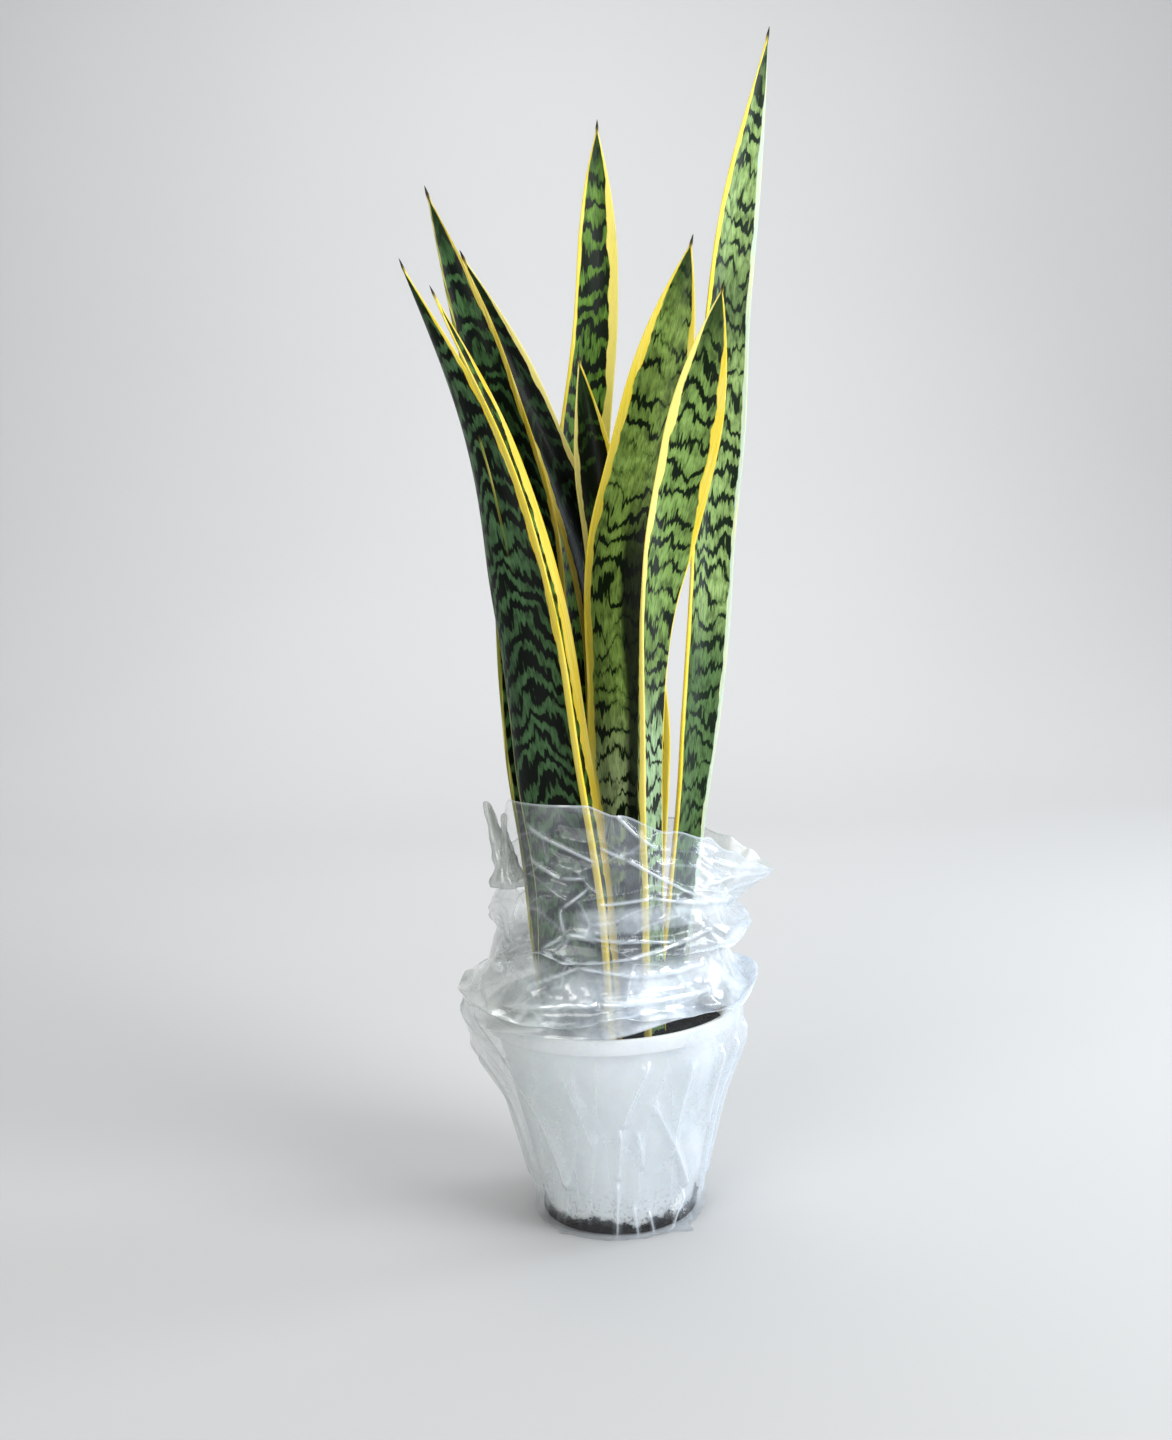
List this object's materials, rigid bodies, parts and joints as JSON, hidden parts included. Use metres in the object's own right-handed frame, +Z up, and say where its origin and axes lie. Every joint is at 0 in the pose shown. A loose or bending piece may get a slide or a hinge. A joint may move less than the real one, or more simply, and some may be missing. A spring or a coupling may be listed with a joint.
{
  "type": "potted snake plant",
  "caption": "Variegated snake plant with upright sword-shaped leaves in a round white nursery pot, standing in a clear film bag pushed down round the rim.",
  "frame": {"origin": "on the ground under the middle of the pot, on the flat bottom of the film bag", "axes": "+Z up along the pot's axis, -Y towards the front, +X towards the tallest leaf's side"},
  "size_m": [0.2045, 0.1552, 0.6681],
  "materials": {
    "pot_plastic": "white moulded plastic, satin",
    "soil": "dark moist potting mix of bark and peat crumbs",
    "leaf": "waxy, banded dark and light green with yellow margins",
    "film": "thin clear film, creased and shiny"
  },
  "bodies": {
    "root": {"pot": "pot_plastic", "potting_soil": "soil", "spilled_soil": "soil", "leaf_tall_right": "leaf", "leaf_tall_back": "leaf", "leaf_front_middle": "leaf", "leaf_front_right": "leaf", "leaf_small_middle": "leaf", "leaf_back_left": "leaf", "leaf_behind_left": "leaf", "leaf_outer_left": "leaf", "leaf_front_left": "leaf", "film_bag": "film"}
  },
  "joints": []
}
